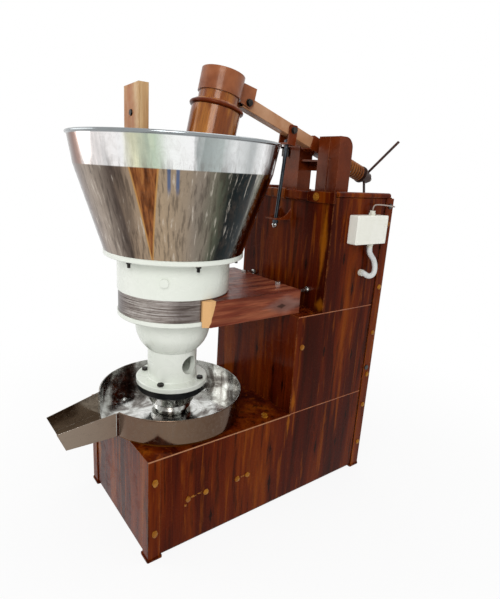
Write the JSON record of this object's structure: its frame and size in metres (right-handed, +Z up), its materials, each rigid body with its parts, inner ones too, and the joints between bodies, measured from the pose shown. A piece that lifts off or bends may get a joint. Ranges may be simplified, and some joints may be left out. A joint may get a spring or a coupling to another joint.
{
  "type": "rotary oil mill",
  "caption": "Motor-driven mortar and pestle oil mill with a steel hopper, oil tray, sprung pull arm and stepped cabinet.",
  "frame": {"origin": "plan centre of the cabinet at floor level, on the underside of the middle foot pad", "axes": "+Z up; -Y towards the oil spout; +Y towards the tower and the tension screw; +X towards the isolator box"},
  "size_m": [0.8019, 1.6773, 1.8638],
  "materials": {
    "cabinet_paint": "gloss",
    "frame_paint": "gloss",
    "mortar_paint": "gloss",
    "stainless": "brushed",
    "worn_steel": "worn",
    "pestle_wood": "varnished",
    "block_wood": "oiled",
    "board_wood": "planed",
    "liner_wood": "oiled",
    "arm_paint": "satin",
    "collar_paint": "gloss",
    "black_paint": "satin",
    "bright_steel": "polished",
    "dark_steel": "satin",
    "zinc": "zinc plated",
    "spring_paint": "satin",
    "gear_iron": "cast",
    "motor_paint": "satin",
    "belt_rubber": "matte",
    "white_plastic": "gloss",
    "grey_plastic": "matte",
    "black_plastic": "matte",
    "tray_ring": "gloss"
  },
  "bodies": {
    "frame": {"lower_sides": "cabinet_paint", "middle_sides": "cabinet_paint", "upper_sides": "cabinet_paint", "front_panel": "cabinet_paint", "deck_plate": "cabinet_paint", "riser_panel": "cabinet_paint", "shelf_plate": "cabinet_paint", "tower_front_panel": "cabinet_paint", "tower_top_plate": "cabinet_paint", "rear_panel": "cabinet_paint", "front_posts": "cabinet_paint", "rear_posts": "cabinet_paint", "foot_pads": "cabinet_paint", "inner_frame": "frame_paint", "tower_trim": "cabinet_paint", "frame_bolts": "dark_steel", "ear_left": "collar_paint", "ear_right": "collar_paint", "ear_tie": "collar_paint", "rod_bracket": "collar_paint", "bearings": "gear_iron", "tray": "stainless", "tray_support": "tray_ring", "brace_block": "block_wood", "brace_bolts": "zinc", "scraper_board": "board_wood", "scraper_bar": "dark_steel", "gearbox_housing": "gear_iron", "gearbox_cover": "gear_iron", "belts": "belt_rubber", "motor_body": "motor_paint", "isolator_box": "white_plastic", "isolator_lid": "white_plastic", "cable_glands": "black_plastic", "conduit": "grey_plastic", "supply_wire": "black_plastic"},
    "mortar": {"mortar_casting": "mortar_paint", "mortar_liner": "liner_wood", "wear_band": "worn_steel", "hopper": "stainless", "mortar_bolts": "dark_steel", "coupling_flange": "black_paint", "shaft_collar": "bright_steel", "drive_shaft": "worn_steel", "worm_wheel": "gear_iron"},
    "input": {"worm_shaft": "worn_steel", "gearbox_pulley": "gear_iron"},
    "motor": {"motor_pulley": "gear_iron"},
    "head": {"head_collar": "collar_paint"},
    "pestle": {"pestle": "pestle_wood", "pestle_ring": "dark_steel"},
    "arm": {"pull_arm": "arm_paint", "tension_screw": "worn_steel", "arm_bolts": "dark_steel"},
    "hanger": {"rod_hanger": "collar_paint", "hanging_rod": "dark_steel"},
    "washer": {"thrust_washer": "dark_steel"},
    "nut": {"capstan_nut": "dark_steel"},
    "trunnion": {"trunnion_sleeve": "collar_paint", "spring": "spring_paint"}
  },
  "joints": [
    {"name": "mortar_spin", "type": "hinge", "parent": "frame", "child": "mortar", "pos_m": [0, -0.358, 0.6], "axis": [0, 0, 1], "continuous": true},
    {"name": "input_spin", "type": "hinge", "parent": "frame", "child": "input", "pos_m": [0, -0.248, 0.312], "axis": [1, 0, 0], "continuous": true},
    {"name": "motor_spin", "type": "hinge", "parent": "frame", "child": "motor", "pos_m": [0, 0.33, 0.3], "axis": [1, 0, 0], "continuous": true},
    {"name": "head_lean", "type": "hinge", "parent": "frame", "child": "head", "pos_m": [0, -0.353, 0.9], "axis": [1, 0, 0], "range_deg": [-0.4, 0.6]},
    {"name": "pestle_spin", "type": "hinge", "parent": "head", "child": "pestle", "pos_m": [0, -0.187, 1.7], "axis": [0, 0.2031, 0.9792], "continuous": true},
    {"name": "arm_hinge", "type": "hinge", "parent": "head", "child": "arm", "pos_m": [0, -0.05031, 1.75043], "axis": [1, 0, 0], "range_deg": [-0.7, 0.5]},
    {"name": "hanger_swing", "type": "hinge", "parent": "arm", "child": "hanger", "pos_m": [0, 0.20197, 1.66933], "axis": [1, 0, 0], "range_deg": [-1, 1.5]},
    {"name": "trunnion_tilt", "type": "hinge", "parent": "frame", "child": "trunnion", "pos_m": [0, 0.38, 1.6121], "axis": [1, 0, 0], "range_deg": [-0.1, 0.1]},
    {"name": "washer_slide", "type": "slide", "parent": "arm", "child": "washer", "axis": [0, 0.952, -0.306], "range_m": [-0.0125, 0.0065], "deforming": ["spring"]},
    {"name": "nut_turn", "type": "hinge", "parent": "washer", "child": "nut", "pos_m": [0, 0.71663, 1.50388], "axis": [0, 0.952, -0.306], "range_deg": [-720, 360]}
  ],
  "couplings": [
    {"joint": "input_spin", "follows": "mortar_spin", "ratio": 40},
    {"joint": "motor_spin", "follows": "mortar_spin", "ratio": 80},
    {"joint": "arm_hinge", "follows": "head_lean", "ratio": -1.0617},
    {"joint": "trunnion_tilt", "follows": "head_lean", "ratio": -0.061748},
    {"joint": "hanger_swing", "follows": "head_lean", "ratio": 2.276},
    {"joint": "washer_slide", "follows": "nut_turn", "m_per_rad": 0.00095493}
  ]
}
